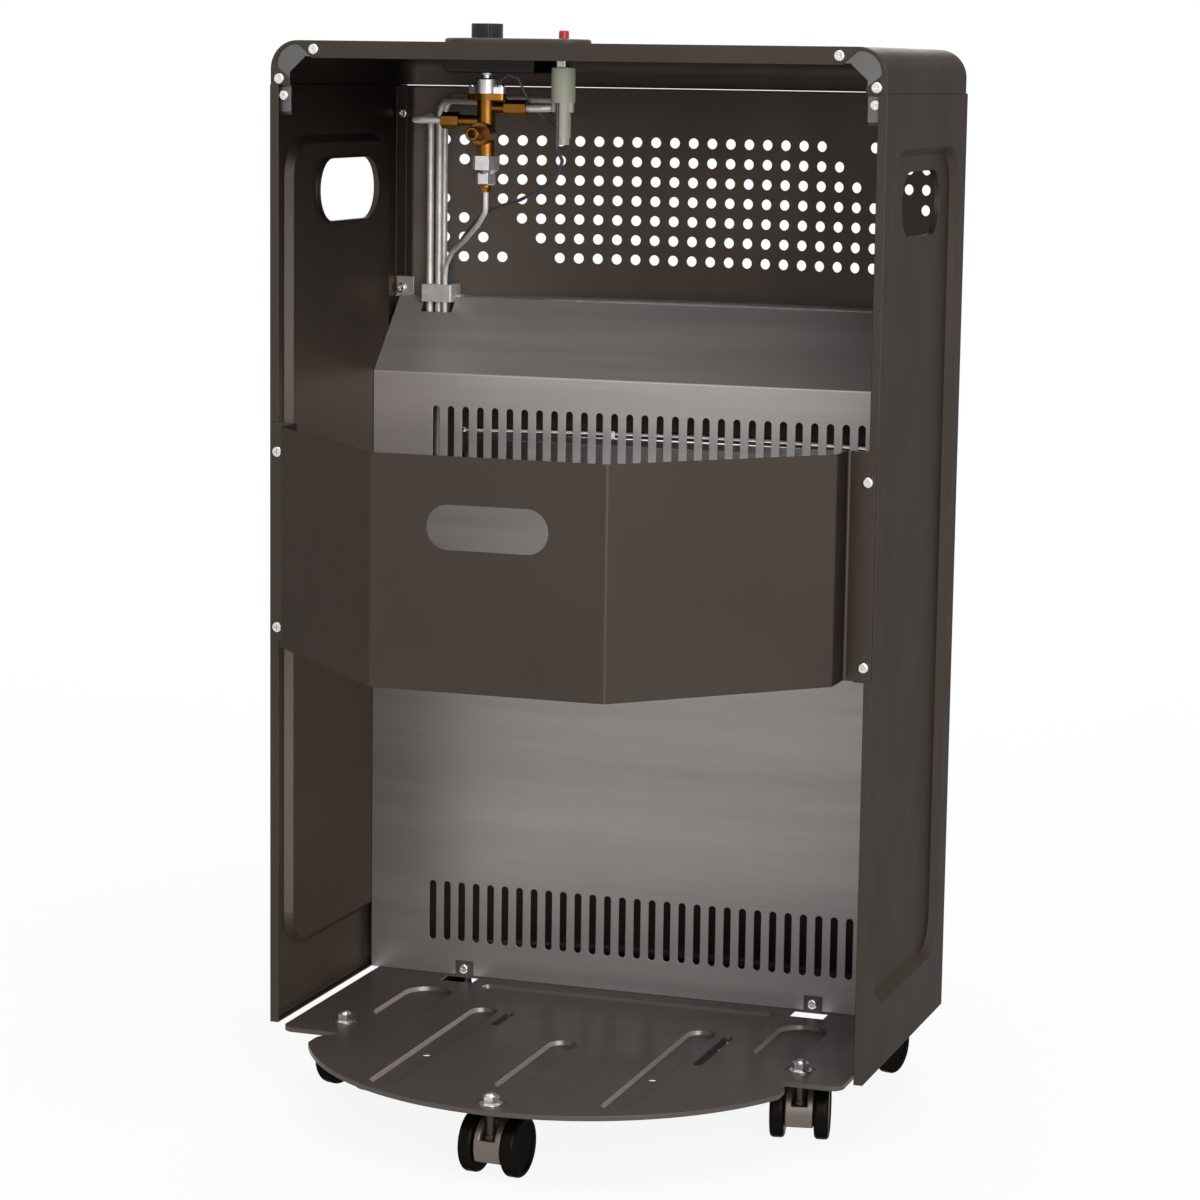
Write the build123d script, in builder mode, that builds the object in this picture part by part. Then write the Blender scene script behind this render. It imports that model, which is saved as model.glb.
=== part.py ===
from build123d import *
from math import asin, cos, degrees, radians, sin, sqrt, tan
import os

os.makedirs("parts", exist_ok=True)

# Portable gas cabinet heater. Millimetres, +Z up, front facing -Y, open bottle bay facing +Y.
# The origin is on the floor, under the middle of the bounding box.
# Heights below are measured from the deck, which is the top of the base plate.
# Depths are measured forward from the plane of the open rear.

# ---- driving dimensions -------------------------------------------------------------------
cabinet_width = 420.0
side_depth = 219.0
side_height = 637.5
cover_height = 29.3
deck_height = 48.5
front_step = 8.0
front_bow = 42.0
guard_reach = 143.0
sheet = 1.0
slide_gap = 0.3
running_gap = 0.05

# ---- places worked out from them ----------------------------------------------------------
cabinet_depth = side_depth + front_step + front_bow
rear_face = (cabinet_depth - guard_reach) / 2
half_width = cabinet_width / 2
bow_radius = (half_width**2 + front_bow**2) / (2 * front_bow)
bow_centre = rear_face - cabinet_depth + bow_radius
cover_top = side_height + cover_height

# ---- top cover and its corners ------------------------------------------------------------
cover_inset = 0.5
cover_edge_radius = 19.0
cover_corner_radius = 20.0
cover_flange_top = 11.4
cover_flange_side = 13.7
cover_flange_corner = 7.0
bracket_sheet = 1.2
bracket_width = 38.0
bracket_drop = 17.5
bracket_step = 2.4

# ---- side panels --------------------------------------------------------------------------
side_flange = 6.0
side_front_flange = 9.0
emboss_press = 5.0
emboss_margin = 21.0
emboss_low = 44.0
emboss_drop = 34.5
emboss_corner = 28.0
handle_depth = 115.0
handle_drop = 71.2
handle_length = 103.0
handle_height = 42.6
handle_lip = 3.0
guard_tab = 7.0

# ---- front panel --------------------------------------------------------------------------
front_inset = 1.5
front_corner = 7.0
front_low_radius = 7.0
front_return = 12.0
front_foot = 14.0
vent_radius = 3.75
vent_pitch = 14.0
vent_rows = 7
vent_drop = 38.7
vent_margin = 20.0
window_width = 316.0
window_low = 195.0
window_drop = 252.5
window_corner = 12.0
louvre_length = 30.0
louvre_height = 4.5
louvre_pitch_x = 40.0
louvre_pitch_z = 14.0
louvre_columns = 7
louvre_rows = 4
louvre_middle = 72.0

# ---- partition behind the burner ----------------------------------------------------------
partition_depth = 165.0
partition_sheet = 0.8
shelf_drop = 150.5
shelf_depth = 214.0
slope_rise = 51.0
slot_width = 5.2
slot_length = 43.7
slot_pitch = 11.13
slot_margin = 42.0
slot_row_low = 46.8
slot_row_drop = 44.7

# ---- base plate ---------------------------------------------------------------------------
base_sheet = 1.2
base_rim = 3.2
base_side_gap = 12.0
base_front_gap = 9.0
base_rear_lip = 9.0
tray_radius = 184.0
tray_half = 165.0
tray_neck = 155.0
tray_gap = 5.0
tray_corner = 13.0
groove_press = 3.0
groove_spacing = 79.5
groove_shift = 4.0
groove_width = 18.0
drain_radius = 3.2
side_groove_x = 138.0
side_groove_width = 33.0
pocket_width = 6.6
pocket_press = 4.0
foot_tab_x = 130.7
foot_tab_width = 12.9
foot_tab_height = 11.0

# ---- bottle guard -------------------------------------------------------------------------
guard_low = 266.3
guard_high = 414.0
guard_facet_half = 77.5
guard_wall_inset = 20.0
guard_wall_depth = 27.0
guard_bend = 2.5
grip_width = 80.6
grip_height = 28.4
grip_drop = 44.2

# ---- casters ------------------------------------------------------------------------------
wheel_radius = 20.0
wheel_outer = 19.5
wheel_dish = 0.8
wheel_shoulder = 2.5
rim_ring = 4.0
caster_trail = 10.0
drum_step = 2.5
drum_half = 9.5
drum_floor = 9.5
recess_half = 5.0
recess_floor = 5.5
spigot_radius = 3.5
spigot_end = 17.2
stem_radius = 3.0
stem_low = 13.0
caster_x = 162.7
caster_rear_depth = 20.0
caster_front_depth = 195.0
caster_tail_depth = -126.0
dimple_radius = 10.5
dimple_press = 0.5

# ---- controls -----------------------------------------------------------------------------
controls_depth = 120.0
knob_x = 102.5
piezo_x = 47.0
plate_thickness = 3.5
plate_knob_radius = 28.7
plate_piezo_radius = 18.6
knob_radius = 10.75
knob_rise = 13.4
knob_start = 2.5
knob_gap = 0.6
knob_travel = 4.0
spindle_radius = 2.5
spindle_flat = 0.7
button_radius = 3.5
button_gap = 0.2
button_start = 3.7
button_rise = 9.3
button_stem_radius = 2.0

# ---- gas train, heights as drops below the top of the cover --------------------------------
hanger_drop = 19.8
hanger_sheet = 1.2
hanger_half_depth = 23.0
hanger_near = 60.0
hanger_far = 131.5
collar_drop = 9.8
bonnet_drop = 33.8
bonnet_flange = 4.6
bonnet_top_drop = 23.4
valve_radius = 6.5
valve_drop = 75.9
outlet_drop = 85.6
pilot_nut_drop = 100.5
left_port_drop = 43.4
right_port_drop = 52.4
front_port_drop = 39.8
inlet_drop = 60.8
inlet_depth = 92.0
boss_radius = 3.9
tube_radius = 2.5
pilot_radius = 1.75
lead_radius = 1.2
earth_radius = 0.8

# ---- terminal block through which the pipes pass -------------------------------------------
block_x = 172.2
block_width = 23.5
block_depth = 204.0
block_length = 20.0
block_below = 3.3
block_above = 9.0

# ---- burner -------------------------------------------------------------------------------
burner_depth = 178.0
burner_front = 217.0
burner_low = 212.0
burner_drop = 33.0
plaque_pitch = 97.0
plaque_gap = 5.0
plaque_thick = 13.0
ledge_depth = 203.0
reflector_front = 231.0
feed_depth = 190.0
pilot_depth = 224.0
grille_wire = 1.5
grille_post = 2.0
grille_pitch = 18.0

# ---- places worked out from those ----------------------------------------------------------
shelf_height = side_height - shelf_drop
partition_bend = shelf_height - slope_rise
window_high = side_height - window_drop
burner_high = window_high - burner_drop
burner_half = 1.5 * plaque_pitch + plaque_gap / 2
partition_half = half_width - sheet - emboss_press - slide_gap
cover_half = half_width - cover_inset
front_half = half_width - front_inset
bracket_depth = sheet + 0.2
leg_depth = bracket_depth + bracket_step
side_tab_depth = leg_depth + bracket_sheet
front_panel_depth = side_depth + 0.2
tab_depth = side_depth - sheet - partition_sheet
knob_hole = knob_radius + knob_gap
button_hole = button_radius + button_gap


# ---- frames and shared shapes -------------------------------------------------------------
def spot(x, depth, height):
    """A point given by its distance across, its depth from the rear and its height."""
    return (x, rear_face - depth, deck_height + height)


def level(height):
    """A horizontal plane at a height above the deck."""
    return Plane.XY.offset(deck_height + height)


def upright(depth):
    """A vertical plane facing the front; its own x runs across and its own y is the height."""
    return Plane(origin=spot(0, depth, 0), x_dir=(1, 0, 0), z_dir=(0, -1, 0))


def rearward(x, depth, height):
    """A plane facing the rear, for screws whose heads are seen from there."""
    return Plane(origin=spot(x, depth, height), x_dir=(1, 0, 0), z_dir=(0, 1, 0))


def sideways(x):
    """A vertical plane facing +X; its own x is minus the depth and its own y is the height."""
    return Plane(origin=spot(x, 0, 0), x_dir=(0, 1, 0), z_dir=(1, 0, 0))


def on_top(x, depth, height):
    """A horizontal plane centred on a point."""
    return Plane(origin=spot(x, depth, height))


def bow_y(x, inset):
    """Where the bowed front lies at a distance across, set in by a given amount."""
    return bow_centre - sqrt((bow_radius - inset) ** 2 - x**2)


def bowed_face(half, back, inset, corner, height):
    """Plan outline with a straight back and sides and a bowed front with rounded corners."""
    side_end = bow_y(half, inset)
    with BuildSketch(level(height), mode=Mode.PRIVATE) as outline:
        with BuildLine():
            Polyline((half, side_end), (half, back), (-half, back), (-half, side_end))
            ThreePointArc((-half, side_end), (0, bow_y(0, inset)), (half, side_end))
        make_face()
        fillet(outline.vertices().group_by(Axis.Y)[0], corner)
    return outline.sketch


def slab(plane, points, thickness, corner=0, mode=Mode.ADD):
    """A flat piece with a straight-sided outline, its corners rounded when a radius is given."""
    with BuildSketch(plane, mode=Mode.PRIVATE) as shape:
        with BuildLine():
            Polyline(*points, close=True)
        make_face()
        if corner:
            fillet(shape.vertices(), corner)
    extrude(shape.sketch, amount=thickness, mode=mode)


def strip(plane, points, bend, thickness, reach):
    """A bent strip of sheet, from the middle line of its section."""
    with BuildSketch(plane, mode=Mode.PRIVATE) as section:
        with BuildLine():
            FilletPolyline(*points, radius=bend)
        trace(line_width=thickness)
    extrude(section.sketch, amount=reach)


def block(x_range, depth_range, height_range, mode=Mode.ADD):
    """A plain block between two values of each of across, depth and height."""
    size = [abs(b - a) for a, b in (x_range, depth_range, height_range)]
    middle = [(a + b) / 2 for a, b in (x_range, depth_range, height_range)]
    with Locations(spot(*middle)):
        Box(*size, mode=mode)


def holes_forward(points, radius, start, reach):
    """Round holes running forward from a depth, at points given as (across, height)."""
    with BuildSketch(upright(start), mode=Mode.PRIVATE) as holes:
        with Locations(*points):
            Circle(radius)
    extrude(holes.sketch, amount=reach, mode=Mode.SUBTRACT)


def holes_down(points, radius, top, reach):
    """Round holes running down from a height, at points given as (across, depth)."""
    with BuildSketch(level(top), mode=Mode.PRIVATE) as holes:
        with Locations(*[(x, rear_face - depth) for x, depth in points]):
            Circle(radius)
    extrude(holes.sketch, amount=-reach, mode=Mode.SUBTRACT)


def rod(start, end, radius, mode=Mode.ADD):
    """A round bar between two points."""
    axis = Vector(*end) - Vector(*start)
    with BuildSketch(Plane(origin=start, z_dir=axis), mode=Mode.PRIVATE) as section:
        Circle(radius)
    extrude(section.sketch, amount=axis.length, mode=mode)


def hexagon(start, end, flats, mode=Mode.ADD):
    """A hexagonal bar between two points, given by its width across flats."""
    axis = Vector(*end) - Vector(*start)
    with BuildSketch(Plane(origin=start, z_dir=axis), mode=Mode.PRIVATE) as section:
        RegularPolygon(flats / 2, 6, major_radius=False)
    extrude(section.sketch, amount=axis.length, mode=mode)


def bent(points, radius):
    """Straight runs joined by tangent arcs of one radius."""
    corners = [Vector(*point) for point in points]
    start = corners[0]
    with BuildLine(mode=Mode.PRIVATE) as path:
        for before, corner, after in zip(corners, corners[1:], corners[2:]):
            back = (before - corner).normalized()
            onward = (after - corner).normalized()
            half_angle = radians(back.get_angle(onward)) / 2
            enter = corner + back * (radius / tan(half_angle))
            leave = corner + onward * (radius / tan(half_angle))
            middle = corner + (back + onward).normalized() * (radius / sin(half_angle) - radius)
            Line(start, enter)
            ThreePointArc(enter, middle, leave)
            start = leave
        Line(start, corners[-1])
    return path.wire()


def bent_rod(points, bend, radius):
    """A round bar or tube that follows bent runs."""
    path = bent([spot(*point) for point in points], bend)
    with BuildSketch(Plane(origin=path @ 0, z_dir=path % 0), mode=Mode.PRIVATE) as section:
        Circle(radius)
    sweep(section.sketch, path=path)


def pan_screw(shank, head, rise, length):
    """A pan head screw that stands along +Z with the underside of its head at zero."""
    with BuildPart() as screw:
        Cylinder(head, rise, align=(Align.CENTER, Align.CENTER, Align.MIN))
        fillet(screw.edges().group_by(Axis.Z)[-1], 0.6 * rise)
        Cylinder(shank, length, align=(Align.CENTER, Align.CENTER, Align.MAX))
        with BuildSketch(Plane.XY.offset(rise)):
            Rectangle(head, head / 5)
            Rectangle(head / 5, head)
        extrude(amount=-rise / 2, mode=Mode.SUBTRACT)
    return screw.part


def both(x, *heights):
    """The same heights on both sides of the middle, as points (across, height)."""
    return [(side * x, height) for height in heights for side in (1, -1)]


def finish(piece, name):
    """Label a finished piece and write it."""
    piece.part.label = name
    export_step(piece.part, f"parts/{name}.step")


# ---- screws -------------------------------------------------------------------------------
screw_shank = 1.75
screw_hole = 1.95
screw_head = 3.6
case_screw = pan_screw(screw_shank, screw_head, 2.2, 5.0)
cover_screw_top = (half_width - 31.5, cover_top - 5.8)
cover_screw_side = (half_width - 7.0, side_height + 4.1)
bracket_screw = (half_width - 8.4, side_height - 6.7)
guard_screw_x = half_width - 6.2
guard_screw_heights = (guard_high - 19.8, guard_low + 9.0)
partition_screw = (half_width - 6.0, shelf_height + 5.0)
front_screw_heights = (side_height - 20.2, side_height / 2, 120.0)
front_screw_x = half_width - 6.0
foot_screw_height = 5.5

with BuildPart() as cover_screws:
    with Locations(*[rearward(x, 0, h) for x, h in both(*cover_screw_top) + both(*cover_screw_side)]):
        add(case_screw)
    with Locations(*[rearward(x, leg_depth, h) for x, h in both(*bracket_screw)]):
        add(case_screw)
finish(cover_screws, "cover_screws")

with BuildPart() as guard_screws:
    with Locations(*[rearward(x, -sheet, h) for x, h in both(guard_screw_x, *guard_screw_heights)]):
        add(case_screw)
finish(guard_screws, "guard_screws")

with BuildPart() as frame_screws:
    with Locations(*[rearward(x, tab_depth, h) for x, h in both(*partition_screw)]):
        add(case_screw)
    front_screws = both(front_screw_x, *front_screw_heights)
    with Locations(*[rearward(x, side_depth - sheet, h) for x, h in front_screws]):
        add(case_screw)
    foot_depth = partition_depth - base_sheet
    with Locations(*[rearward(x, foot_depth, h) for x, h in both(foot_tab_x, foot_screw_height)]):
        add(case_screw)
finish(frame_screws, "frame_screws")

# ---- top cover ----------------------------------------------------------------------------
opening_half = cover_half - cover_flange_side
opening_top = cover_top - cover_flange_top
with BuildPart() as cover_hollow:
    extrude(bowed_face(cover_half - sheet, rear_face - sheet, sheet, cover_corner_radius - sheet,
                       side_height),
            amount=cover_height - sheet)
    top_edges = cover_hollow.edges().group_by(Axis.Z)[-1]
    fillet(top_edges.filter_by_position(Axis.Y, -cabinet_depth, rear_face - sheet - 0.1),
           cover_edge_radius - sheet)

with BuildPart() as top_cover:
    extrude(bowed_face(cover_half, rear_face, 0, cover_corner_radius, side_height), amount=cover_height)
    top_edges = top_cover.edges().group_by(Axis.Z)[-1]
    fillet(top_edges.filter_by_position(Axis.Y, -cabinet_depth, rear_face - 0.1), cover_edge_radius)
    add(cover_hollow.part, mode=Mode.SUBTRACT)
    with BuildSketch(upright(0)) as opening:
        with BuildLine():
            Polyline((-opening_half, side_height), (-opening_half, opening_top),
                     (opening_half, opening_top),
                     (opening_half, side_height), close=True)
        make_face()
        fillet(opening.vertices().group_by(Axis.Y)[-1], cover_flange_corner)
    extrude(amount=sheet, mode=Mode.SUBTRACT)
    for side in (1, -1):
        with BuildSketch(upright(0)):
            with BuildLine():
                cut_start = (side * (cover_half - 3.8), cover_top - 17.7)
                cut_end = (side * (cover_half - 19.8), cover_top - 2.8)
                Line(cut_end, (side * (cover_half - 28.9), cover_top - 10.7))
                Line((side * (cover_half - 28.9), cover_top - 10.7),
                     (side * (cover_half - 14.2), cover_top - 25.8))
                Line((side * (cover_half - 14.2), cover_top - 25.8), cut_start)
                ThreePointArc(cut_start, (side * (cover_half - 7.6), cover_top - 6.7), cut_end)
            make_face()
        extrude(amount=sheet, mode=Mode.SUBTRACT)
    holes_forward(both(*cover_screw_top) + both(*cover_screw_side), screw_hole, -1, sheet + 2)
    holes_down([(knob_x, controls_depth)], knob_hole, cover_top + 1, sheet + 2)
    holes_down([(piezo_x, controls_depth)], button_hole, cover_top + 1, sheet + 2)
finish(top_cover, "top_cover")

# ---- corner brackets ----------------------------------------------------------------------
plate_middle = -(bracket_depth + bracket_sheet / 2)
leg_middle = -(leg_depth + bracket_sheet / 2)
bracket_edge = cover_half - sheet - slide_gap
bracket_top = cover_top - sheet - slide_gap
bracket_round = cover_edge_radius - sheet - slide_gap
with BuildPart() as corner_bracket_right:
    strip(sideways(bracket_edge - bracket_width),
          [(plate_middle, bracket_top), (plate_middle, side_height + 1.2),
           (leg_middle, side_height - 1.2),
           (leg_middle, side_height - bracket_drop)], 0.8, bracket_sheet, bracket_width)
    with BuildSketch(upright(0)) as bracket_outline:
        with BuildLine():
            Polyline((bracket_edge - bracket_width, bracket_top),
                     (bracket_edge - bracket_width, opening_top + 1),
                     (bracket_edge - 23, opening_top + 1), (opening_half + 0.7, side_height + 8.5),
                     (opening_half + 0.7, side_height - bracket_drop),
                     (bracket_edge, side_height - bracket_drop),
                     (bracket_edge, bracket_top), close=True)
        make_face()
        fillet(bracket_outline.vertices().sort_by_distance((bracket_edge, bracket_top))[0], bracket_round)
    extrude(amount=10, mode=Mode.INTERSECT)
    holes_forward([cover_screw_top, cover_screw_side, bracket_screw], screw_hole, 0, 10)
finish(corner_bracket_right, "corner_bracket_right")

with BuildPart() as corner_bracket_left:
    mirror(corner_bracket_right.part, about=Plane.YZ)
finish(corner_bracket_left, "corner_bracket_left")

# ---- side panels --------------------------------------------------------------------------
inner_wall = half_width - sheet
emboss_top = side_height - emboss_drop
emboss_middle = (-side_depth / 2, (emboss_low + emboss_top) / 2)
emboss_size = (side_depth - 2 * emboss_margin, emboss_top - emboss_low)
handle_middle = (-handle_depth, side_height - handle_drop)
flange_edge = half_width - side_flange
with BuildPart() as side_panel_right:
    block((inner_wall, half_width), (0, side_depth), (0, side_height))
    with BuildSketch(sideways(inner_wall)):
        with Locations(emboss_middle):
            RectangleRounded(emboss_size[0] + 0.8, emboss_size[1] + 0.8, emboss_corner)
    extrude(amount=-emboss_press, taper=45)
    with BuildSketch(sideways(half_width)):
        with Locations(emboss_middle):
            RectangleRounded(*emboss_size, emboss_corner)
    extrude(amount=-emboss_press, taper=45, mode=Mode.SUBTRACT)
    with BuildSketch(sideways(half_width - emboss_press)):
        with Locations(handle_middle):
            SlotOverall(handle_length + 2 * sheet, handle_height + 2 * sheet)
    extrude(amount=-sheet - handle_lip)
    with BuildSketch(sideways(half_width)):
        with Locations(handle_middle):
            SlotOverall(handle_length, handle_height)
    extrude(amount=-emboss_press - sheet - handle_lip, mode=Mode.SUBTRACT)
    block((flange_edge, half_width), (0, sheet), (0, side_height))
    block((half_width - side_front_flange, half_width), (side_depth - sheet, side_depth),
          (0, side_height))
    block((flange_edge, half_width), (0, side_depth), (0, sheet))
    block((flange_edge, half_width), (side_tab_depth, side_depth), (side_height - sheet, side_height))
    block((opening_half + 0.7, half_width), (side_tab_depth, side_tab_depth + sheet),
          (side_height - bracket_drop - 2, side_height))
    for height in guard_screw_heights:
        block((flange_edge - guard_tab, half_width), (0, sheet), (height - 10, height + 10))
    holes_forward([(guard_screw_x, height) for height in guard_screw_heights], screw_hole, -1, sheet + 2)
    holes_forward([bracket_screw], screw_hole, leg_depth, 4)
    holes_forward([partition_screw] + [(front_screw_x, height) for height in front_screw_heights],
                  screw_hole,
                  side_depth - 2, 4)
finish(side_panel_right, "side_panel_right")

with BuildPart() as side_panel_left:
    mirror(side_panel_right.part, about=Plane.YZ)
finish(side_panel_left, "side_panel_left")

# ---- front panel --------------------------------------------------------------------------
front_back = rear_face - front_panel_depth
front_top = side_height - 0.5
vent_radius_line = bow_radius - front_inset
vent_columns = 2 * int((front_half - vent_margin) * 1.03 / vent_pitch) + 1
vent_planes = []
for column in range(vent_columns):
    turn = (vent_columns // 2 - column) * vent_pitch / vent_radius_line
    outward = Vector(sin(turn), -sqrt(1 - sin(turn) ** 2), 0)
    for row in range(vent_rows):
        left_gap = column - row in (-2, -1)
        right_gap = column - row in (vent_columns - 6, vent_columns - 5)
        if not left_gap and not right_gap:
            centre = Vector(0, bow_centre, deck_height + side_height - vent_drop - row * vent_pitch)
            vent_planes.append(Plane(origin=centre + outward * vent_radius_line, z_dir=outward))

with BuildPart() as front_hollow:
    extrude(bowed_face(front_half - sheet, front_back - sheet, front_inset + sheet, front_corner - sheet,
                       sheet),
            amount=front_top - 2 * sheet)
    low_edges = front_hollow.edges().group_by(Axis.Z)[0]
    fillet(low_edges.filter_by_position(Axis.Y, -cabinet_depth, front_back - sheet - 0.1),
           front_low_radius - sheet)

with BuildPart() as front_panel:
    extrude(bowed_face(front_half, front_back, front_inset, front_corner, 0), amount=front_top)
    low_edges = front_panel.edges().group_by(Axis.Z)[0]
    fillet(low_edges.filter_by_position(Axis.Y, -cabinet_depth, front_back - 0.1), front_low_radius)
    add(front_hollow.part, mode=Mode.SUBTRACT)
    extrude(bowed_face(front_half - front_foot, front_back + 20, front_inset + front_foot, 3, 0),
            amount=sheet,
            mode=Mode.SUBTRACT)
    extrude(bowed_face(front_half - front_return, front_back + 20, front_inset + front_return, 3,
                       front_top - sheet),
            amount=sheet, mode=Mode.SUBTRACT)
    block((-front_half + front_return, front_half - front_return),
          (front_panel_depth, front_panel_depth + sheet),
          (0, front_top), mode=Mode.SUBTRACT)
    with Locations(*vent_planes):
        Cylinder(vent_radius, 4 * sheet, mode=Mode.SUBTRACT)
    with BuildSketch(upright(side_depth)):
        with Locations((0, (window_low + window_high) / 2)):
            RectangleRounded(window_width, window_high - window_low, window_corner)
        with Locations((0, louvre_middle)):
            with GridLocations(louvre_pitch_x, louvre_pitch_z, louvre_columns, louvre_rows):
                SlotOverall(louvre_length, louvre_height)
    extrude(amount=front_step + front_bow + 5, mode=Mode.SUBTRACT)
    holes_forward(both(front_screw_x, *front_screw_heights) + both(*partition_screw), screw_hole,
                  side_depth - 1, 4)
finish(front_panel, "front_panel")

# ---- partition ----------------------------------------------------------------------------
half_sheet = partition_sheet / 2
wall_middle = -(partition_depth + half_sheet)
shelf_middle = shelf_height - half_sheet
shelf_half = front_half - front_return - 1
shelf_inset = front_inset + sheet + slide_gap
slot_count = 2 * int((partition_half - slot_margin) / slot_pitch) + 1
slot_rows = (slot_row_low, partition_bend - slot_row_drop)
with BuildPart() as partition:
    strip(sideways(-partition_half),
          [(wall_middle, 0.2), (wall_middle, partition_bend), (-shelf_depth, shelf_middle),
           (-tab_depth, shelf_middle)], 1.5, partition_sheet, 2 * partition_half)
    extrude(bowed_face(shelf_half, rear_face - tab_depth + 1, shelf_inset, 5,
                       shelf_height - partition_sheet),
            amount=partition_sheet)
    for side in (1, -1):
        wing = sorted((side * (partition_half - partition_sheet), side * partition_half))
        block(wing, (partition_depth, partition_depth + 10), (0.2, partition_bend - 8))
        ear = sorted((side * (shelf_half - 1), side * (half_width - 2)))
        block(ear, (tab_depth, tab_depth + partition_sheet),
              (shelf_height - partition_sheet, shelf_height + 13.5))
        block(ear, (tab_depth - 3, tab_depth + partition_sheet),
              (shelf_height - partition_sheet, shelf_height))
    with BuildSketch(upright(partition_depth - 1)):
        for row in slot_rows:
            with Locations((0, row)):
                with GridLocations(slot_pitch, 1, slot_count, 1):
                    SlotOverall(slot_length, slot_width, rotation=90)
    extrude(amount=partition_sheet + 2, mode=Mode.SUBTRACT)
    block((block_x - block_width / 2 - slide_gap, block_x + block_width / 2 + slide_gap),
          (block_depth - slide_gap, block_depth + block_length + slide_gap),
          (shelf_height - 16, shelf_height + 1), mode=Mode.SUBTRACT)
    holes_forward(both(*partition_screw), screw_hole, tab_depth - 2, 4)
    holes_forward(both(foot_tab_x, foot_screw_height), screw_hole, partition_depth - 1, 4)
finish(partition, "partition")

# ---- base plate ---------------------------------------------------------------------------
base_half = half_width - base_side_gap
caster_spots = {
    "caster_rear_right": (caster_x, caster_rear_depth, -15.9),
    "caster_rear_left": (-caster_x, caster_rear_depth, 11.6),
    "caster_tail": (0.0, caster_tail_depth, -3.6),
    "caster_front_right": (caster_x, caster_front_depth, 9.0),
    "caster_front_left": (-caster_x, caster_front_depth, -12.0),
}
bolt_points = [(x, depth) for x, depth, turn in caster_spots.values()]
grooves = [
    (groove_shift - groove_spacing, -109, 88, groove_width),
    (groove_shift + groove_spacing, -109, 88, groove_width),
    (groove_shift, -90, 29, groove_width),
    (-side_groove_x, 40, 127, side_groove_width),
    (side_groove_x, 40, 127, side_groove_width),
]
pockets = [(64.0, 65.5, 34.0), (-95.5, 43.5, 75.0)]


def base_outline(inset, height):
    """The plan of the base plate, set in all round: the deck, a short neck and the rear tray."""
    with BuildSketch(level(height), mode=Mode.PRIVATE) as plan:
        add(bowed_face(base_half, rear_face + base_rear_lip, front_inset + base_front_gap, 6,
                       height).moved(
            Location((0, 0, -deck_height - height))))
        fillet(plan.vertices().group_by(Axis.Y)[-1], base_rear_lip)
        with BuildSketch(mode=Mode.PRIVATE) as tray:
            with Locations((0, rear_face - 43)):
                Circle(tray_radius)
            with Locations((0, rear_face + base_rear_lip + tray_gap + 200)):
                Rectangle(2 * tray_half, 400, mode=Mode.INTERSECT)
            fillet(tray.vertices(), tray_corner)
        add(tray.sketch)
        with Locations((0, rear_face + base_rear_lip)):
            Rectangle(2 * tray_neck, 4 * tray_gap)
        if inset:
            offset(amount=-inset, kind=Kind.INTERSECTION)
    return plan.sketch


def groove_plan(height, grow):
    """The plan of the pressed grooves, grown all round by a given amount."""
    with BuildSketch(level(height), mode=Mode.PRIVATE) as plan:
        for x, start, end, width in grooves:
            with Locations((x, rear_face - (start + end) / 2)):
                SlotOverall(end - start + 2 * grow, width + 2 * grow, rotation=90)
        with Locations((0, rear_face - 143)):
            SlotOverall(216 + 2 * grow, 9 + 2 * grow)
    return plan.sketch


def pocket_plan(height, grow):
    """The plan of the two narrow pockets, grown all round by a given amount."""
    with BuildSketch(level(height), mode=Mode.PRIVATE) as plan:
        for x, depth, length in pockets:
            with Locations((x, rear_face - depth)):
                SlotOverall(length + 2 * grow, pocket_width + 2 * grow, rotation=90)
    return plan.sketch


with BuildPart() as base_plate:
    extrude(base_outline(0, -base_rim), amount=base_rim)
    extrude(base_outline(base_sheet, -base_rim), amount=base_rim - base_sheet, mode=Mode.SUBTRACT)
    extrude(groove_plan(-base_sheet, 1.2), amount=-groove_press, taper=20)
    extrude(groove_plan(0, 0.8), amount=-groove_press, taper=20, mode=Mode.SUBTRACT)
    with Locations(*[on_top(x, depth, -base_sheet - dimple_press / 2) for x, depth in bolt_points]):
        Cylinder(dimple_radius + base_sheet, dimple_press)
    with Locations(*[on_top(x, depth, -dimple_press / 2) for x, depth in bolt_points]):
        Cylinder(dimple_radius, dimple_press, mode=Mode.SUBTRACT)
    holes_down(bolt_points, stem_radius + 0.1, 1, 6)
    holes_down([(groove_shift + x, -27) for x in (groove_spacing, -groove_spacing)], drain_radius, 1, 8)
    extrude(pocket_plan(-base_sheet, base_sheet), amount=-pocket_press)
    extrude(pocket_plan(0, 0), amount=-pocket_press, mode=Mode.SUBTRACT)
    for side in (1, -1):
        middle = side * foot_tab_x
        block((middle - 12.4, middle + 12.4), (partition_depth - 18, partition_depth - base_sheet),
              (-2, 1),
              mode=Mode.SUBTRACT)
        block((middle - foot_tab_width / 2, middle + foot_tab_width / 2),
              (partition_depth - base_sheet, partition_depth), (-base_sheet, foot_tab_height))
    holes_forward(both(foot_tab_x, foot_screw_height), screw_hole, partition_depth - 3, 4)
finish(base_plate, "base_plate")

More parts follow.
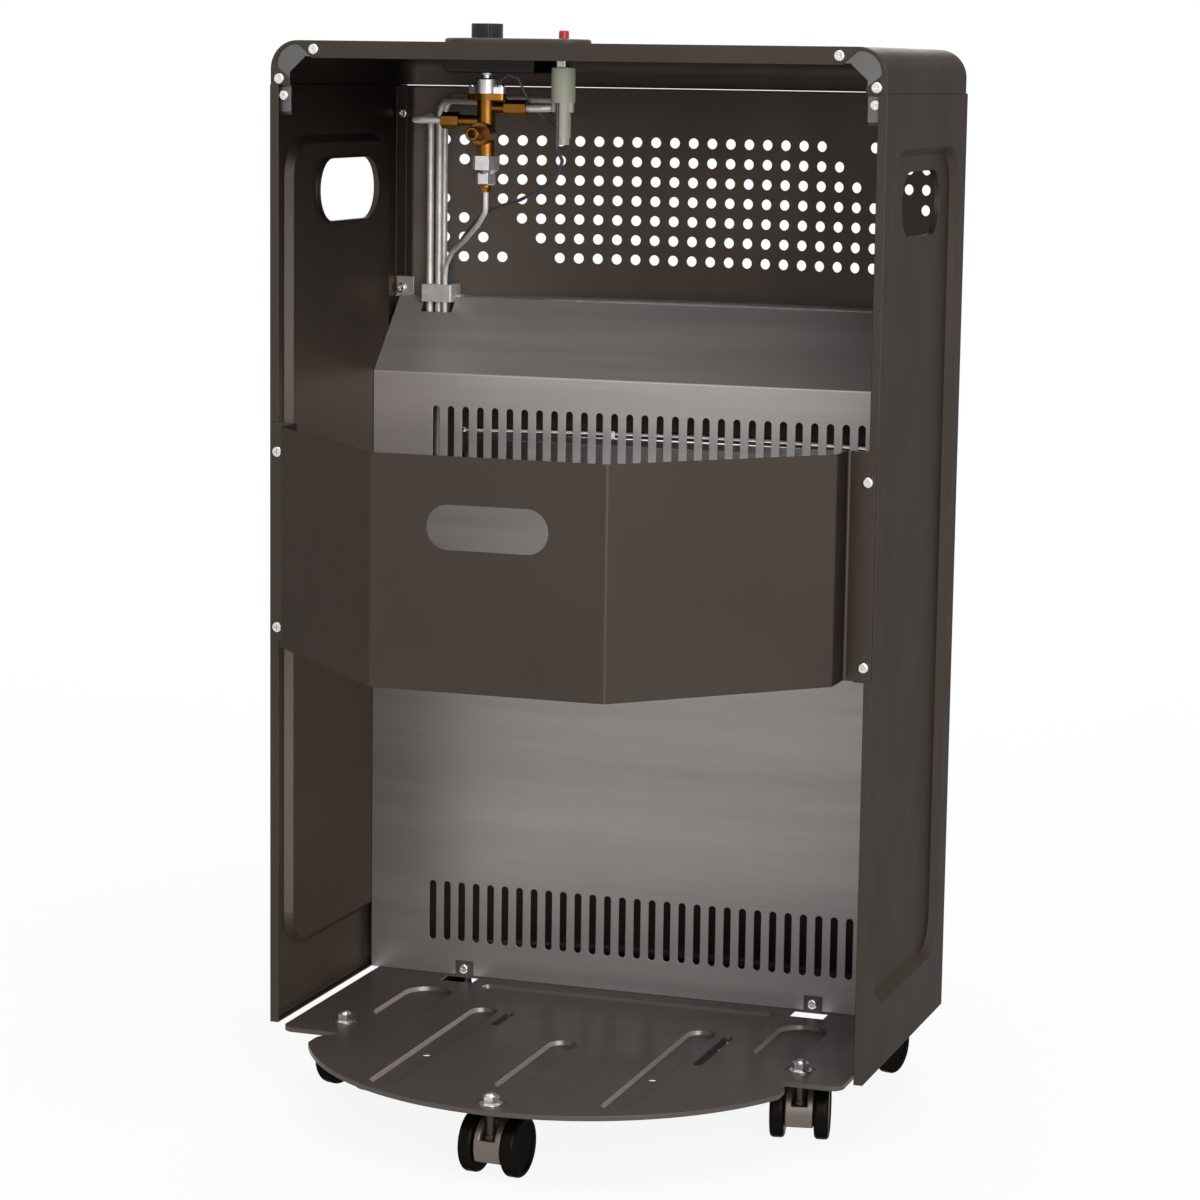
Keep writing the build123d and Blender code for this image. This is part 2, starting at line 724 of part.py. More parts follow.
# ---- bottle guard -------------------------------------------------------------------------
guard_edge = half_width - sheet
guard_wall = half_width - guard_wall_inset
guard_line = [(guard_edge, sheet / 2), (guard_wall, sheet / 2), (guard_wall, guard_wall_depth),
              (guard_facet_half, guard_reach - sheet / 2)]
mirrored_line = [(-x, y) for x, y in reversed(guard_line)]
guard_plan = [(x, rear_face + y) for x, y in guard_line + mirrored_line]
with BuildPart() as bottle_guard:
    strip(level(guard_low), guard_plan, guard_bend, sheet, guard_high - guard_low)
    with BuildSketch(upright(-guard_reach - 1)):
        with Locations((0, guard_high - grip_drop)):
            SlotOverall(grip_width, grip_height)
    extrude(amount=sheet + 3, mode=Mode.SUBTRACT)
    holes_forward(both(guard_screw_x, *guard_screw_heights), screw_hole, -sheet - 1, sheet + 2)
finish(bottle_guard, "bottle_guard")

# ---- casters ------------------------------------------------------------------------------
drum_radius = wheel_radius - drum_step
wheel_inner = drum_half + slide_gap
bore_end = spigot_end + slide_gap
recess_height = wheel_radius + recess_floor
with BuildPart() as caster_housing:
    with Locations((0, -caster_trail, wheel_radius)):
        Cylinder(drum_radius, 2 * drum_half, rotation=(0, 90, 0))
    with Locations((0, -caster_trail, wheel_radius - drum_floor - 10)):
        Box(60, 60, 20, mode=Mode.SUBTRACT)
    fillet(caster_housing.faces().sort_by(Axis.Z)[0].edges().filter_by(Axis.X), 3)
    with BuildSketch(Plane.XY.offset(recess_height)):
        with Locations((0, 0)):
            Circle(recess_half)
        with Locations((0, 15)):
            Rectangle(2 * recess_half, 30)
    extrude(amount=30, mode=Mode.SUBTRACT)
    drum_ends = caster_housing.faces().filter_by(GeomType.PLANE).filter_by(Axis.X)
    chamfer(drum_ends.edges().filter_by(GeomType.CIRCLE), 0.8)
    with Locations((0, -caster_trail, wheel_radius)):
        Cylinder(spigot_radius, 2 * spigot_end, rotation=(0, 90, 0))
    with Locations((0, 0, recess_height)):
        Cylinder(stem_radius + running_gap, recess_height - stem_low + slide_gap,
                 align=(Align.CENTER, Align.CENTER, Align.MAX), mode=Mode.SUBTRACT)

wheel_face = wheel_outer - wheel_dish
ring_inner = wheel_radius - rim_ring
with BuildPart() as caster_wheel:
    with BuildSketch(Plane.XY) as wheel_section:
        with BuildLine():
            Polyline((wheel_inner, spigot_radius + running_gap), (bore_end, spigot_radius + running_gap),
                     (bore_end, 0), (wheel_face, 0), (wheel_face, ring_inner - wheel_dish),
                     (wheel_outer, ring_inner), (wheel_outer, wheel_radius), (wheel_inner, wheel_radius),
                     close=True)
        make_face()
        fillet(wheel_section.vertices().group_by(Axis.Y)[-1], wheel_shoulder)
    revolve(axis=Axis.X)

wheel_place = Location((0, -caster_trail, wheel_radius))
for caster_name, (x, depth, turn) in caster_spots.items():
    caster_place = Location((x, rear_face - depth, 0), (0, 0, turn))
    with BuildPart() as housing:
        add(caster_housing.part.moved(caster_place))
    finish(housing, f"{caster_name}_housing")
    with BuildPart() as outer_wheel:
        add(caster_wheel.part.moved(caster_place * wheel_place))
    finish(outer_wheel, f"{caster_name}_wheel_a")
    with BuildPart() as inner_wheel:
        add(caster_wheel.part.moved(caster_place * wheel_place * Location((0, 0, 0), (0, 0, 180))))
    finish(inner_wheel, f"{caster_name}_wheel_b")

dimple_under = -base_sheet - dimple_press
stem_top = 5.5
with BuildPart() as caster_stems:
    for x, depth in bolt_points:
        rod(spot(x, depth, stem_low - deck_height), spot(x, depth, stem_top), stem_radius)
        rod(spot(x, depth, dimple_under - 1.5), spot(x, depth, dimple_under), 8)
        collar_start = recess_height + running_gap - deck_height
        rod(spot(x, depth, collar_start), spot(x, depth, collar_start + 3), recess_half - 0.6)
finish(caster_stems, "caster_stems")

with BuildPart() as caster_nuts:
    for x, depth in bolt_points:
        rod(spot(x, depth, -dimple_press), spot(x, depth, 0.7), 7.5)
        hexagon(spot(x, depth, 0.7), spot(x, depth, 5.5), 10)
        with Locations(on_top(x, depth, 5.5)):
            Sphere(4.6, arc_size1=0)
        rod(spot(x, depth, -1), spot(x, depth, stem_top + 0.5), stem_radius + running_gap,
            mode=Mode.SUBTRACT)
finish(caster_nuts, "caster_nuts")

# ---- controls -----------------------------------------------------------------------------
plate_top = cover_top + plate_thickness
with BuildPart() as control_plate:
    with BuildSketch(level(cover_top)) as plate_plan:
        with Locations((knob_x, rear_face - controls_depth)):
            Circle(plate_knob_radius)
        with Locations((piezo_x, rear_face - controls_depth)):
            Circle(plate_piezo_radius)
        make_hull()
    extrude(amount=plate_thickness)
    fillet(control_plate.edges().group_by(Axis.Z)[-1], 1.5)
    holes_down([(knob_x, controls_depth)], knob_hole, plate_top + 1, plate_thickness + 2)
    holes_down([(piezo_x, controls_depth)], button_hole, plate_top + 1, plate_thickness + 2)
finish(control_plate, "control_plate")

knob_top = cover_top + knob_rise
spindle_top = knob_top - 3.5
spindle_bottom = cover_top - 38.8
flat_start = spindle_radius - spindle_flat
with BuildPart() as knob:
    with BuildSketch(level(cover_top + knob_start)) as knob_plan:
        with Locations((knob_x, rear_face - controls_depth)):
            Circle(knob_radius)
            with PolarLocations(knob_radius, 36):
                Circle(0.45, mode=Mode.SUBTRACT)
    extrude(amount=knob_rise - knob_start)
    fillet(knob.edges().group_by(Axis.Z)[-1], 0.4)
    with Locations(on_top(knob_x, controls_depth, cover_top + knob_start)):
        Cylinder(knob_radius - 1.8, 5.5, align=(Align.CENTER, Align.CENTER, Align.MIN),
                 mode=Mode.SUBTRACT)
        Cylinder(spindle_radius + 2, 5.5, align=(Align.CENTER, Align.CENTER, Align.MIN))
    block((knob_x - 0.6, knob_x + 0.6), (controls_depth + 2.5, controls_depth + knob_radius + 1),
          (knob_top - 0.6, knob_top + 1), mode=Mode.SUBTRACT)
    with BuildSketch(level(cover_top + knob_start)):
        with Locations((knob_x, rear_face - controls_depth)):
            Circle(spindle_radius + running_gap)
        with Locations((knob_x, rear_face - controls_depth + flat_start + running_gap + 5)):
            Rectangle(20, 10, mode=Mode.SUBTRACT)
    extrude(amount=spindle_top + 0.5 - cover_top - knob_start, mode=Mode.SUBTRACT)
finish(knob, "knob")

with BuildPart() as valve_spindle:
    rod(spot(knob_x, controls_depth, spindle_bottom), spot(knob_x, controls_depth, spindle_top),
        spindle_radius)
    block((knob_x - 5, knob_x + 5), (controls_depth - flat_start, controls_depth - 10),
          (cover_top + 0.5, spindle_top + 1), mode=Mode.SUBTRACT)
finish(valve_spindle, "valve_spindle")

collar_low = cover_top - collar_drop
with BuildPart() as spindle_collar:
    rod(spot(knob_x, controls_depth, collar_low), spot(knob_x, controls_depth, collar_low + 3), 6)
    rod(spot(knob_x, controls_depth, collar_low - 1), spot(knob_x, controls_depth, collar_low + 4),
        spindle_radius + running_gap, mode=Mode.SUBTRACT)
finish(spindle_collar, "spindle_collar")

button_low = cover_top + button_start
with BuildPart() as piezo_button:
    rod(spot(piezo_x, controls_depth, button_low), spot(piezo_x, controls_depth, cover_top + button_rise),
        button_radius)
    fillet(piezo_button.edges().group_by(Axis.Z)[-1], 1.2)
    rod(spot(piezo_x, controls_depth, cover_top - 21.8), spot(piezo_x, controls_depth, button_low + 1),
        button_stem_radius)
finish(piezo_button, "piezo_button")

body_top = cover_top - 15.3
body_step = cover_top - 39.1
body_low = cover_top - 67.5
body_narrow = 5.25
lead_x = piezo_x + 2.0
lead_depth = controls_depth - sqrt((body_narrow + lead_radius + running_gap) ** 2 - (lead_x - piezo_x) ** 2)
with BuildPart() as piezo_body:
    rod(spot(piezo_x, controls_depth, body_step), spot(piezo_x, controls_depth, body_top), 8.2)
    fillet(piezo_body.edges().group_by(Axis.Z)[-1], 1)
    rod(spot(piezo_x, controls_depth, body_low), spot(piezo_x, controls_depth, body_step), 4.5)
    rod(spot(piezo_x, controls_depth, body_low + 4.8), spot(piezo_x, controls_depth, body_step),
        body_narrow)
    rod(spot(piezo_x, controls_depth, body_top - 1), spot(piezo_x, controls_depth, cover_top - 0.5),
        button_radius)
    for side in (1, -1):
        lug = sorted((piezo_x + side * 4.5, piezo_x + side * 7.3))
        block(lug, (controls_depth - 1.8, controls_depth + 1.8), (body_step - 6.4, body_step + 1))
        edge = sorted((piezo_x + side * 3.6, piezo_x + side * 6))
        block(edge, (controls_depth - 1, controls_depth + 1), (body_low + 3, body_step - 9),
              mode=Mode.SUBTRACT)
    rod(spot(piezo_x, controls_depth, cover_top - 28), spot(piezo_x, controls_depth, cover_top),
        button_stem_radius + running_gap, mode=Mode.SUBTRACT)
    rod(spot(lead_x, lead_depth, body_step - 1), spot(lead_x, lead_depth, body_step + 3),
        lead_radius + running_gap, mode=Mode.SUBTRACT)
finish(piezo_body, "piezo_body")

with BuildPart() as piezo_nut:
    hexagon(spot(piezo_x, controls_depth, body_top), spot(piezo_x, controls_depth, cover_top - sheet),
            10.4)
    rod(spot(piezo_x, controls_depth, body_top - 1), spot(piezo_x, controls_depth, cover_top),
        button_radius + running_gap, mode=Mode.SUBTRACT)
finish(piezo_nut, "piezo_nut")

# ---- gas valve ----------------------------------------------------------------------------
hanger_low = cover_top - hanger_drop
hanger_top = cover_top - sheet
bonnet_low = cover_top - bonnet_drop
bonnet_ear_top = bonnet_low + bonnet_flange
bonnet_top = cover_top - bonnet_top_drop
ear_spread = 10.6
ear_radius = 3.4
ear_screw_hole = 1.5
valve_low = cover_top - valve_drop
left_port = cover_top - left_port_drop
right_port = cover_top - right_port_drop
front_port = cover_top - front_port_drop
inlet_port = cover_top - inlet_drop
pilot_low = cover_top - pilot_nut_drop

with BuildPart() as valve_bracket:
    hanger_line = [(-controls_depth - hanger_half_depth - 7, hanger_top - hanger_sheet / 2),
                   (-controls_depth - hanger_half_depth, hanger_top - hanger_sheet / 2),
                   (-controls_depth - hanger_half_depth, hanger_low + hanger_sheet / 2),
                   (-controls_depth + hanger_half_depth, hanger_low + hanger_sheet / 2),
                   (-controls_depth + hanger_half_depth, hanger_top - hanger_sheet / 2),
                   (-controls_depth + hanger_half_depth + 7, hanger_top - hanger_sheet / 2)]
    strip(sideways(hanger_near), hanger_line, 1.2, hanger_sheet, hanger_far - hanger_near)
    hanger_corner = [(hanger_far - 8, hanger_low - 1), (hanger_far + 1, hanger_low - 1),
                     (hanger_far + 1, hanger_top - 2), (hanger_far, hanger_top - 2)]
    slab(upright(controls_depth - 40), hanger_corner, 80, mode=Mode.SUBTRACT)
    rod(spot(knob_x, controls_depth, hanger_low - 1), spot(knob_x, controls_depth, hanger_low + 3), 3.45,
        mode=Mode.SUBTRACT)
finish(valve_bracket, "valve_bracket")


def ear_plate(low, high, middle_radius):
    """The two-lobed flange that joins the valve body and its bonnet."""
    with BuildSketch(level(low), mode=Mode.PRIVATE) as lobes:
        with Locations(*[(knob_x + side * ear_spread, rear_face - controls_depth) for side in (1, -1)]):
            Circle(ear_radius)
        with Locations((knob_x, rear_face - controls_depth)):
            Circle(middle_radius)
        make_hull()
    extrude(lobes.sketch, amount=high - low)


ear_points = [(knob_x + side * ear_spread, controls_depth) for side in (1, -1)]
with BuildPart() as valve_bonnet:
    ear_plate(bonnet_low, bonnet_ear_top, valve_radius)
    rod(spot(knob_x, controls_depth, bonnet_low), spot(knob_x, controls_depth, bonnet_top), 8.25)
    fillet(valve_bonnet.edges().group_by(Axis.Z)[-1], 1)
    rod(spot(knob_x, controls_depth, bonnet_top),
        spot(knob_x, controls_depth, hanger_low + hanger_sheet + 1), 3.4)
    rod(spot(knob_x, controls_depth, hanger_low - 1.2), spot(knob_x, controls_depth, hanger_low), 5.5)
    rod(spot(knob_x, controls_depth, hanger_low + hanger_sheet),
        spot(knob_x, controls_depth, hanger_low + hanger_sheet + 1), 4.6)
    rod(spot(knob_x, controls_depth, bonnet_low - 1), spot(knob_x, controls_depth, hanger_low + 5),
        spindle_radius + running_gap, mode=Mode.SUBTRACT)
    holes_down(ear_points, ear_screw_hole, bonnet_ear_top + 1, 8)
finish(valve_bonnet, "valve_bonnet")

with BuildPart() as bonnet_screws:
    for x, depth in ear_points:
        with Locations(on_top(x, depth, bonnet_ear_top)):
            add(pan_screw(1.4, 2.2, 2.0, 7.0))
finish(bonnet_screws, "bonnet_screws")

with BuildPart() as valve_body:
    rod(spot(knob_x, controls_depth, valve_low), spot(knob_x, controls_depth, bonnet_low), valve_radius)
    ear_plate(bonnet_low - 4.4, bonnet_low, valve_radius)
    rod(spot(knob_x, controls_depth, right_port), spot(knob_x + 26.5, controls_depth, right_port),
        boss_radius)
    rod(spot(knob_x, controls_depth, left_port), spot(knob_x - 23.5, controls_depth, left_port),
        boss_radius)
    rod(spot(knob_x, controls_depth, front_port), spot(knob_x, controls_depth + 14, front_port),
        boss_radius)
    rod(spot(knob_x, controls_depth, inlet_port), spot(knob_x, controls_depth - 14, inlet_port), 7.4)
    rod(spot(knob_x, controls_depth - 13, inlet_port), spot(knob_x, inlet_depth, inlet_port), 5)
    chamfer(valve_body.faces().sort_by(Axis.Y)[-1].edges(), 0.8)
    rod(spot(knob_x, inlet_depth + 12, inlet_port), spot(knob_x, inlet_depth - 1, inlet_port), 3,
        mode=Mode.SUBTRACT)
    rod(spot(knob_x + 18, controls_depth, right_port), spot(knob_x + 27, controls_depth, right_port),
        tube_radius + running_gap, mode=Mode.SUBTRACT)
    rod(spot(knob_x - 15, controls_depth, left_port), spot(knob_x - 24, controls_depth, left_port),
        tube_radius + running_gap, mode=Mode.SUBTRACT)
    rod(spot(knob_x, controls_depth + 7, front_port), spot(knob_x, controls_depth + 15, front_port),
        tube_radius + running_gap, mode=Mode.SUBTRACT)
    rod(spot(knob_x, controls_depth, spindle_bottom - knob_travel - 2),
        spot(knob_x, controls_depth, bonnet_low + 1),
        spindle_radius + 0.1, mode=Mode.SUBTRACT)
    holes_down(ear_points, ear_screw_hole, bonnet_low + 1, 8)
finish(valve_body, "valve_body")


def union_nut(boss_start, boss_end, nut_end):
    """A hexagon nut over a boss, with a narrower bore for the pipe."""
    hexagon(boss_start, nut_end, 10)
    rod(boss_start, boss_end, boss_radius + running_gap, mode=Mode.SUBTRACT)
    rod(boss_end, nut_end, tube_radius + running_gap, mode=Mode.SUBTRACT)


with BuildPart() as union_nuts:
    union_nut(spot(knob_x + 19.5, controls_depth, right_port),
              spot(knob_x + 27, controls_depth, right_port),
              spot(knob_x + 32, controls_depth, right_port))
    union_nut(spot(knob_x - 14, controls_depth, left_port), spot(knob_x - 24, controls_depth, left_port),
              spot(knob_x - 29.5, controls_depth, left_port))
    union_nut(spot(knob_x, controls_depth + 8.5, front_port),
              spot(knob_x, controls_depth + 14.5, front_port),
              spot(knob_x, controls_depth + 20, front_port))
finish(union_nuts, "union_nuts")

outlet_low = cover_top - outlet_drop
outlet_shoulder = 3.0
pilot_top = pilot_low + 4.7
with BuildPart() as outlet_fitting:
    hexagon(spot(knob_x, controls_depth, outlet_low), spot(knob_x, controls_depth, valve_low), 17)
    with Locations(on_top(knob_x, controls_depth, outlet_low)):
        Cone(5.8, 8.2, outlet_shoulder, align=(Align.CENTER, Align.CENTER, Align.MAX))
    hexagon(spot(knob_x, controls_depth, pilot_top), spot(knob_x, controls_depth, outlet_low), 12)
    chamfer(outlet_fitting.edges().group_by(Axis.Z)[0], 0.8)
    rod(spot(knob_x, controls_depth, pilot_low), spot(knob_x, controls_depth, pilot_low + 8),
        pilot_radius + running_gap, mode=Mode.SUBTRACT)
finish(outlet_fitting, "outlet_fitting")

with BuildPart() as pilot_nut:
    hexagon(spot(knob_x, controls_depth, pilot_low), spot(knob_x, controls_depth, pilot_top - 1.2), 6.6)
    rod(spot(knob_x, controls_depth, pilot_top - 1.7), spot(knob_x, controls_depth, pilot_top), 3.8)
    rod(spot(knob_x, controls_depth, pilot_low - 1), spot(knob_x, controls_depth, pilot_low + 6),
        pilot_radius + running_gap, mode=Mode.SUBTRACT)
finish(pilot_nut, "pilot_nut")

# ---- terminal block -----------------------------------------------------------------------
block_near = block_x - block_width / 2
block_far = block_x + block_width / 2
block_low = shelf_height - block_below
block_top = shelf_height + block_above
pipe_places = [(180, 212, tube_radius), (173, 212, tube_radius), (172, 218.5, tube_radius),
               (166.3, 207, pilot_radius), (165.6, 213, lead_radius)]
with BuildPart() as terminal_box:
    block((block_near, block_far), (block_depth, block_depth + block_length), (block_low, block_top))
    fillet(terminal_box.edges().filter_by(Axis.Z), 1.5)
    for edge in ((block_near - 3, block_near + 1), (block_far - 1, block_far + 3)):
        block(edge, (shelf_depth + 1, block_depth + block_length - 1), (shelf_height, shelf_height + 1.5))
    for x, depth, radius in pipe_places:
        holes_down([(x, depth)], radius + 0.1, block_top + 1, 20)
finish(terminal_box, "terminal_box")

# ---- pipes and leads ----------------------------------------------------------------------
feed_ends = (-plaque_pitch, 0, plaque_pitch)
feed_low = [burner_low - drop for drop in (50, 42, 34)]
feed_high = burner_low - 12
with BuildPart() as feed_tube_left:
    bent_rod([(knob_x + 25, controls_depth, right_port), (knob_x + 53, controls_depth, right_port),
              (180, 212, right_port + 2), (180, 212, feed_low[0]),
              (feed_ends[0], feed_depth, feed_low[0]),
              (feed_ends[0], feed_depth, feed_high)], 10, tube_radius)
finish(feed_tube_left, "feed_tube_left")

with BuildPart() as feed_tube_middle:
    bent_rod([(knob_x, controls_depth + 10, front_port), (knob_x, controls_depth + 43, front_port),
              (173, 212, front_port), (173, 212, feed_low[1]), (feed_ends[1], feed_depth, feed_low[1]),
              (feed_ends[1], feed_depth, feed_high)], 10, tube_radius)
finish(feed_tube_middle, "feed_tube_middle")

with BuildPart() as feed_tube_right:
    bent_rod([(knob_x - 22, controls_depth, left_port), (knob_x - 51, controls_depth, left_port),
              (knob_x - 51, controls_depth + 31, left_port + 5.5), (172, 218.5, left_port + 6.5),
              (172, 218.5, feed_low[2]), (feed_ends[2], feed_depth, feed_low[2]),
              (feed_ends[2], feed_depth, feed_high)], 14, tube_radius)
finish(feed_tube_right, "feed_tube_right")

pilot_x = 138.0
with BuildPart() as pilot_tube:
    bent_rod([(knob_x, controls_depth, pilot_low + 6), (knob_x, controls_depth, pilot_low - 13.5),
              (112.7, 132, pilot_low - 23.4), (131.1, 155, pilot_low - 35.2),
              (152.5, 185, pilot_low - 45.6),
              (163.5, 202.5, pilot_low - 55.3), (166.3, 207, block_top + 7),
              (166.3, 207, burner_low - 19),
              (pilot_x, pilot_depth, burner_low - 19), (pilot_x, pilot_depth, burner_low - 8)], 6,
              pilot_radius)
finish(pilot_tube, "pilot_tube")

spark_x = 150.0
with BuildPart() as ignition_wire:
    bent_rod([(lead_x, lead_depth, body_step + 2.5), (lead_x, lead_depth, body_low - 2),
              (piezo_x, controls_depth, body_low - 11),
              (54.4, 126, body_low - 24), (68.1, 134, body_low - 31.3), (87.1, 146, body_low - 39),
              (111.6, 162, body_low - 45.7), (126.5, 172, body_low - 52), (144.7, 190, body_low - 66.5),
              (157.3, 203, body_low - 78.1), (164.5, 212, block_top + 10.3),
              (165.6, 213, block_top + 0.9),
              (165.6, 213, burner_low - 12), (spark_x, pilot_depth, burner_low - 12),
              (spark_x, pilot_depth, burner_low - 6.5)], 5, lead_radius)
finish(ignition_wire, "ignition_wire")

with BuildPart() as earth_lead:
    bent_rod([(knob_x - ear_spread, controls_depth, bonnet_ear_top + 2), (91.9, 119, cover_top - 24.5),
              (86.4, 118, cover_top - 21.1), (79.5, 119, cover_top - 23), (75.1, 123, cover_top - 34.4),
              (71.7, 125.5, cover_top - 41.1), (61.5, 127, cover_top - 51),
              (52.4, 123.2, cover_top - 56.8)],
             2, earth_radius)
finish(earth_lead, "earth_lead")

# ---- burner -------------------------------------------------------------------------------
box_inner = burner_half - sheet
plaque_width = plaque_pitch - plaque_gap
plaque_height = burner_high - burner_low - 2 * sheet - 6
plaque_middle = (burner_low + burner_high) / 2
with BuildPart() as burner_box:
    block((-burner_half, burner_half), (burner_depth, burner_front), (burner_low, burner_high))
    block((-box_inner, box_inner), (burner_depth + sheet, burner_front + 1),
          (burner_low + sheet, burner_high - sheet),
          mode=Mode.SUBTRACT)
    block((-box_inner - 0.1, box_inner + 0.1), (ledge_depth - 1.5, ledge_depth),
          (burner_low + sheet - 0.1, burner_high - sheet + 0.1))
    for middle in feed_ends:
        block((middle - plaque_width / 2 + 4, middle + plaque_width / 2 - 4),
              (ledge_depth - 3, ledge_depth + 1),
              (plaque_middle - plaque_height / 2 + 4, plaque_middle + plaque_height / 2 - 4),
              mode=Mode.SUBTRACT)
    for middle in (-plaque_pitch / 2, plaque_pitch / 2):
        block((middle - 0.5, middle + 0.5), (burner_depth, burner_front), (burner_low, burner_high))
    for x, height in both(burner_half - 20, burner_low + 22, burner_high - 22):
        block((x - 9, x + 9), (partition_depth + partition_sheet, burner_depth), (height - 6, height + 6))
    holes_down([(x, feed_depth) for x in feed_ends], 4.1, burner_low + 3, 6)
finish(burner_box, "burner_box")

for place, middle in zip(("left", "middle", "right"), feed_ends):
    with BuildPart() as ceramic_plaque:
        block((middle - plaque_width / 2, middle + plaque_width / 2),
              (ledge_depth, ledge_depth + plaque_thick),
              (plaque_middle - plaque_height / 2, plaque_middle + plaque_height / 2))
        with BuildSketch(upright(ledge_depth + plaque_thick)):
            with Locations((middle, plaque_middle)):
                with GridLocations(plaque_width / 4, 1, 3, 1):
                    Rectangle(1.2, plaque_height)
                with GridLocations(1, plaque_height / 6, 1, 5):
                    Rectangle(plaque_width, 1.2)
        extrude(amount=-0.8, mode=Mode.SUBTRACT)
    finish(ceramic_plaque, f"ceramic_plaque_{place}")


def funnel(shrink, mode):
    """The flared reflector between the burner and the window."""
    with BuildSketch(upright(burner_front - 3), mode=Mode.PRIVATE) as narrow:
        with Locations((0, plaque_middle)):
            Rectangle(2 * (burner_half + 1.3 - shrink), burner_high - burner_low + 2.6 - 2 * shrink)
    with BuildSketch(upright(reflector_front), mode=Mode.PRIVATE) as wide:
        with Locations((0, (window_low + window_high) / 2)):
            Rectangle(window_width + 8 - 2 * shrink, window_high - window_low - 4 - 2 * shrink)
    loft([narrow.sketch.face(), wide.sketch.face()], mode=mode)


with BuildPart() as reflector:
    funnel(0, Mode.ADD)
    block((-burner_half - 1.3, burner_half + 1.3), (burner_front - 9, burner_front - 3),
          (burner_low - 1.3, burner_high + 1.3))
    block((-window_width / 2 - 7, window_width / 2 + 7),
          (reflector_front - 0.01, reflector_front + sheet),
          (window_low - 3, window_high + 3))
    funnel(1, Mode.SUBTRACT)
    block((-burner_half - slide_gap, burner_half + slide_gap), (burner_front - 10, burner_front - 3),
          (burner_low - slide_gap, burner_high + slide_gap), mode=Mode.SUBTRACT)
    block((-window_width / 2 - 3, window_width / 2 + 3), (reflector_front, reflector_front + 2),
          (window_low + 3, window_high - 3), mode=Mode.SUBTRACT)
    block((120, 160), (burner_front - 10, burner_front + 13), (window_low - 4, burner_low),
          mode=Mode.SUBTRACT)
finish(reflector, "reflector")

plate_low = burner_low - 1.2
with BuildPart() as pilot_burner:
    block((122, 158), (burner_depth + 24, pilot_depth + 5), (plate_low, burner_low))
    hexagon(spot(pilot_x, pilot_depth, burner_low - 9), spot(pilot_x, pilot_depth, plate_low), 8)
    rod(spot(pilot_x, pilot_depth, plate_low), spot(pilot_x, pilot_depth, burner_low + 9), 3.2)
    block((pilot_x - 4.5, pilot_x + 4.5), (pilot_depth - 4, pilot_depth + 4),
          (burner_low + 9, burner_low + 14))
    block((pilot_x - 3.5, pilot_x + 3.5), (pilot_depth - 5, pilot_depth + 3),
          (burner_low + 10, burner_low + 13),
          mode=Mode.SUBTRACT)
    rod(spot(pilot_x, pilot_depth, burner_low - 10), spot(pilot_x, pilot_depth, burner_low - 5),
        pilot_radius + running_gap, mode=Mode.SUBTRACT)
    holes_down([(spark_x, pilot_depth)], 2.5 + running_gap, burner_low + 1, 4)
    holes_down([(pilot_x - 11, pilot_depth)], 1.5 + running_gap, burner_low + 1, 4)
finish(pilot_burner, "pilot_burner")

with BuildPart() as spark_electrode:
    rod(spot(spark_x, pilot_depth, burner_low - 8), spot(spark_x, pilot_depth, burner_low + 10), 2.5)
    rod(spot(spark_x, pilot_depth, burner_low), spot(spark_x, pilot_depth, burner_low + 2), 4)
    rod(spot(spark_x, pilot_depth, burner_low + 9), spot(spark_x, pilot_depth, burner_low + 15), 0.8)
    rod(spot(spark_x, pilot_depth, burner_low + 15), spot(pilot_x + 6.5, pilot_depth, burner_low + 17),
        0.8)
    with Locations(spot(spark_x, pilot_depth, burner_low + 15)):
        Sphere(0.8)
    rod(spot(spark_x, pilot_depth, burner_low - 9), spot(spark_x, pilot_depth, burner_low - 6),
        lead_radius + 0.1, mode=Mode.SUBTRACT)
finish(spark_electrode, "spark_electrode")

with BuildPart() as thermocouple:
    rod(spot(pilot_x - 11, pilot_depth, burner_low - 14),
        spot(pilot_x - 11, pilot_depth, burner_low + 16), 1.5)
    rod(spot(pilot_x - 11, pilot_depth, burner_low), spot(pilot_x - 11, pilot_depth, burner_low + 3), 3)
    with Locations(spot(pilot_x - 11, pilot_depth, burner_low + 16)):
        Sphere(1.5)
finish(thermocouple, "thermocouple")

with BuildPart() as burner_injectors:
    for middle in feed_ends:
        hexagon(spot(middle, feed_depth, burner_low - 18), spot(middle, feed_depth, burner_low - 8), 12)
        rod(spot(middle, feed_depth, burner_low - 8), spot(middle, feed_depth, burner_low), 5.5)
        rod(spot(middle, feed_depth, burner_low - 1), spot(middle, feed_depth, burner_low + 6), 4)
        rod(spot(middle, feed_depth, burner_low - 19), spot(middle, feed_depth, burner_low - 11.5),
            tube_radius + running_gap, mode=Mode.SUBTRACT)
        rod(spot(middle, feed_depth, burner_low - 12), spot(middle, feed_depth, burner_low + 7), 0.8,
            mode=Mode.SUBTRACT)
finish(burner_injectors, "burner_injectors")

# ---- guard over the burner window ----------------------------------------------------------
weld = 0.8
wire_line = bow_radius - front_inset - sheet - slide_gap - grille_wire
post_line = wire_line - grille_wire - grille_post + weld
grille_low = window_low - 4
grille_rise = window_high - window_low + 8
grille_count = int(grille_rise / grille_pitch)
grille_half = window_width / 2 + 8
bar_turn = asin(grille_half / wire_line)
with BuildPart() as grille_bar:
    with BuildSketch(Plane(origin=(0, 0, 0), x_dir=(-sin(bar_turn), -cos(bar_turn), 0),
                           z_dir=(-cos(bar_turn), sin(bar_turn), 0))):
        with Locations((wire_line, 0)):
            Circle(grille_wire)
    revolve(axis=Axis.Z, revolution_arc=degrees(2 * bar_turn))

